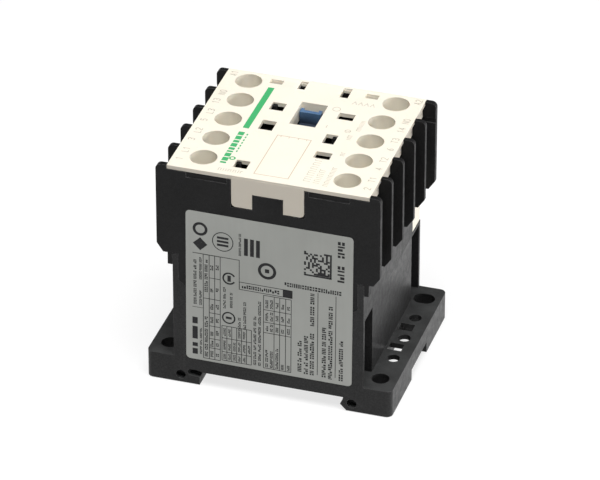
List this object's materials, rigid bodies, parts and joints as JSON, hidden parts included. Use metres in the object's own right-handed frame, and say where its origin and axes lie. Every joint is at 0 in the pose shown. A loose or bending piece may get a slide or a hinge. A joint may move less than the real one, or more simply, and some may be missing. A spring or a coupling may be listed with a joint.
{
  "type": "industrial control relay",
  "caption": "Rail-mounted control relay with rows of screw terminals, barrier fins, mounting feet, sliding contact carrier and coil.",
  "frame": {"origin": "middle of the back, on the plane the feet rest on", "axes": "+X across the two terminal rows towards the load side, +Y away from the label face, +Z out of the front cover"},
  "size_m": [0.058, 0.045, 0.057],
  "materials": {
    "base_plastic": "fine moulded grain",
    "black_plastic": "fine moulded grain",
    "cream_plastic": "smooth moulded, slightly satin",
    "label_film": "silver-grey printed film",
    "core_steel": "stacked laminations",
    "rivet_steel": "plain",
    "copper": "bare copper",
    "pad_rubber": "moulded",
    "bobbin_plastic": "smooth moulded",
    "winding": "enamelled copper wire, wound in layers",
    "plated_steel": "zinc plated",
    "screw_steel": "zinc plated",
    "silver": "silver alloy",
    "carrier_plastic": "moulded",
    "blue_plastic": "semi-gloss",
    "spring_steel": "drawn wire",
    "slider_plastic": "moulded"
  },
  "bodies": {
    "housing": {"base_housing": "base_plastic", "contact_housing": "black_plastic", "front_cover": "cream_plastic", "rating_label": "label_film", "magnet_core": "core_steel", "core_rivets": "rivet_steel", "shading_rings": "copper", "core_pad": "pad_rubber", "coil_bobbin": "bobbin_plastic", "coil_winding": "winding", "coil_leads": "copper", "coil_terminal_a1": "plated_steel", "coil_terminal_a2": "plated_steel", "line_contact_1": "copper", "line_contact_2": "copper", "line_contact_3": "copper", "line_contact_4": "copper", "load_contact_1": "copper", "load_contact_2": "copper", "load_contact_3": "copper", "load_contact_4": "copper", "fixed_contact_tips": "silver", "return_spring_near": "spring_steel", "return_spring_far": "spring_steel", "rail_slider_spring": "spring_steel"},
    "carrier": {"contact_carrier": "carrier_plastic", "indicator_flag": "blue_plastic", "armature": "core_steel", "armature_rivets": "rivet_steel", "armature_pin": "rivet_steel", "contact_spring_1": "spring_steel", "contact_spring_2": "spring_steel", "contact_spring_3": "spring_steel", "contact_spring_4": "spring_steel"},
    "bridge_1": {"bridge_contact_1": "copper"},
    "bridge_2": {"bridge_contact_2": "copper"},
    "bridge_3": {"bridge_contact_3": "copper"},
    "bridge_4": {"bridge_contact_4": "copper"},
    "slider": {"rail_slider": "slider_plastic"},
    "clamp_line_1": {"washer_line_1": "plated_steel"},
    "screw_line_1": {"screw_line_1": "screw_steel"},
    "clamp_line_2": {"washer_line_2": "plated_steel"},
    "screw_line_2": {"screw_line_2": "screw_steel"},
    "clamp_line_3": {"washer_line_3": "plated_steel"},
    "screw_line_3": {"screw_line_3": "screw_steel"},
    "clamp_line_4": {"washer_line_4": "plated_steel"},
    "screw_line_4": {"screw_line_4": "screw_steel"},
    "clamp_load_1": {"washer_load_1": "plated_steel"},
    "screw_load_1": {"screw_load_1": "screw_steel"},
    "clamp_load_2": {"washer_load_2": "plated_steel"},
    "screw_load_2": {"screw_load_2": "screw_steel"},
    "clamp_load_3": {"washer_load_3": "plated_steel"},
    "screw_load_3": {"screw_load_3": "screw_steel"},
    "clamp_load_4": {"washer_load_4": "plated_steel"},
    "screw_load_4": {"screw_load_4": "screw_steel"},
    "clamp_coil_a1": {"washer_coil_a1": "plated_steel"},
    "screw_coil_a1": {"screw_coil_a1": "screw_steel"},
    "clamp_coil_a2": {"washer_coil_a2": "plated_steel"},
    "screw_coil_a2": {"screw_coil_a2": "screw_steel"}
  },
  "joints": [
    {"name": "carrier_slide", "type": "slide", "parent": "housing", "child": "carrier", "axis": [0, 0, -1], "range_m": [0, 0.003], "stiffness_N_per_m": 600, "springref_m": -0.004, "deforming": ["return_spring_near", "return_spring_far"]},
    {"name": "bridge_1_lift", "type": "slide", "parent": "carrier", "child": "bridge_1", "axis": [0, 0, 1], "range_m": [0, 0.0008], "stiffness_N_per_m": 1500, "springref_m": -0.001, "deforming": ["contact_spring_1"]},
    {"name": "bridge_2_lift", "type": "slide", "parent": "carrier", "child": "bridge_2", "axis": [0, 0, 1], "range_m": [0, 0.0008], "stiffness_N_per_m": 1500, "springref_m": -0.001, "deforming": ["contact_spring_2"]},
    {"name": "bridge_3_lift", "type": "slide", "parent": "carrier", "child": "bridge_3", "axis": [0, 0, 1], "range_m": [0, 0.0008], "stiffness_N_per_m": 1500, "springref_m": -0.001, "deforming": ["contact_spring_3"]},
    {"name": "bridge_4_lift", "type": "slide", "parent": "carrier", "child": "bridge_4", "axis": [0, 0, 1], "range_m": [0, 0.0008], "stiffness_N_per_m": 1500, "springref_m": -0.001, "deforming": ["contact_spring_4"]},
    {"name": "rail_slider_push", "type": "slide", "parent": "housing", "child": "slider", "axis": [-1, 0, 0], "range_m": [0, 0.0013], "stiffness_N_per_m": 2000, "springref_m": -0.001, "deforming": ["rail_slider_spring"]},
    {"name": "clamp_line_1_lift", "type": "slide", "parent": "housing", "child": "clamp_line_1", "axis": [0, 0, 1], "range_m": [0, 0.002]},
    {"name": "screw_line_1_turn", "type": "hinge", "parent": "clamp_line_1", "child": "screw_line_1", "pos_m": [-0.0167, -0.0167, 0.043], "axis": [0, 0, 1], "range_deg": [0, 1440]},
    {"name": "clamp_line_2_lift", "type": "slide", "parent": "housing", "child": "clamp_line_2", "axis": [0, 0, 1], "range_m": [0, 0.002]},
    {"name": "screw_line_2_turn", "type": "hinge", "parent": "clamp_line_2", "child": "screw_line_2", "pos_m": [-0.0167, -0.00791, 0.043], "axis": [0, 0, 1], "range_deg": [0, 1440]},
    {"name": "clamp_line_3_lift", "type": "slide", "parent": "housing", "child": "clamp_line_3", "axis": [0, 0, 1], "range_m": [0, 0.002]},
    {"name": "screw_line_3_turn", "type": "hinge", "parent": "clamp_line_3", "child": "screw_line_3", "pos_m": [-0.0167, 0.00088, 0.043], "axis": [0, 0, 1], "range_deg": [0, 1440]},
    {"name": "clamp_line_4_lift", "type": "slide", "parent": "housing", "child": "clamp_line_4", "axis": [0, 0, 1], "range_m": [0, 0.002]},
    {"name": "screw_line_4_turn", "type": "hinge", "parent": "clamp_line_4", "child": "screw_line_4", "pos_m": [-0.0167, 0.00967, 0.043], "axis": [0, 0, 1], "range_deg": [0, 1440]},
    {"name": "clamp_load_1_lift", "type": "slide", "parent": "housing", "child": "clamp_load_1", "axis": [0, 0, 1], "range_m": [0, 0.002]},
    {"name": "screw_load_1_turn", "type": "hinge", "parent": "clamp_load_1", "child": "screw_load_1", "pos_m": [0.0167, -0.0167, 0.043], "axis": [0, 0, 1], "range_deg": [0, 1440]},
    {"name": "clamp_load_2_lift", "type": "slide", "parent": "housing", "child": "clamp_load_2", "axis": [0, 0, 1], "range_m": [0, 0.002]},
    {"name": "screw_load_2_turn", "type": "hinge", "parent": "clamp_load_2", "child": "screw_load_2", "pos_m": [0.0167, -0.00791, 0.043], "axis": [0, 0, 1], "range_deg": [0, 1440]},
    {"name": "clamp_load_3_lift", "type": "slide", "parent": "housing", "child": "clamp_load_3", "axis": [0, 0, 1], "range_m": [0, 0.002]},
    {"name": "screw_load_3_turn", "type": "hinge", "parent": "clamp_load_3", "child": "screw_load_3", "pos_m": [0.0167, 0.00088, 0.043], "axis": [0, 0, 1], "range_deg": [0, 1440]},
    {"name": "clamp_load_4_lift", "type": "slide", "parent": "housing", "child": "clamp_load_4", "axis": [0, 0, 1], "range_m": [0, 0.002]},
    {"name": "screw_load_4_turn", "type": "hinge", "parent": "clamp_load_4", "child": "screw_load_4", "pos_m": [0.0167, 0.00967, 0.043], "axis": [0, 0, 1], "range_deg": [0, 1440]},
    {"name": "clamp_coil_a1_lift", "type": "slide", "parent": "housing", "child": "clamp_coil_a1", "axis": [0, 0, 1], "range_m": [0, 0.002]},
    {"name": "screw_coil_a1_turn", "type": "hinge", "parent": "clamp_coil_a1", "child": "screw_coil_a1", "pos_m": [-0.0175, 0.0183, 0.043], "axis": [0, 0, 1], "range_deg": [0, 1440]},
    {"name": "clamp_coil_a2_lift", "type": "slide", "parent": "housing", "child": "clamp_coil_a2", "axis": [0, 0, 1], "range_m": [0, 0.002]},
    {"name": "screw_coil_a2_turn", "type": "hinge", "parent": "clamp_coil_a2", "child": "screw_coil_a2", "pos_m": [0.0175, 0.0183, 0.043], "axis": [0, 0, 1], "range_deg": [0, 1440]}
  ],
  "couplings": [
    {"joint": "screw_line_1_turn", "follows": "clamp_line_1_lift", "rad_per_m": 12566},
    {"joint": "screw_line_2_turn", "follows": "clamp_line_2_lift", "rad_per_m": 12566},
    {"joint": "screw_line_3_turn", "follows": "clamp_line_3_lift", "rad_per_m": 12566},
    {"joint": "screw_line_4_turn", "follows": "clamp_line_4_lift", "rad_per_m": 12566},
    {"joint": "screw_load_1_turn", "follows": "clamp_load_1_lift", "rad_per_m": 12566},
    {"joint": "screw_load_2_turn", "follows": "clamp_load_2_lift", "rad_per_m": 12566},
    {"joint": "screw_load_3_turn", "follows": "clamp_load_3_lift", "rad_per_m": 12566},
    {"joint": "screw_load_4_turn", "follows": "clamp_load_4_lift", "rad_per_m": 12566},
    {"joint": "screw_coil_a1_turn", "follows": "clamp_coil_a1_lift", "rad_per_m": 12566},
    {"joint": "screw_coil_a2_turn", "follows": "clamp_coil_a2_lift", "rad_per_m": 12566}
  ]
}
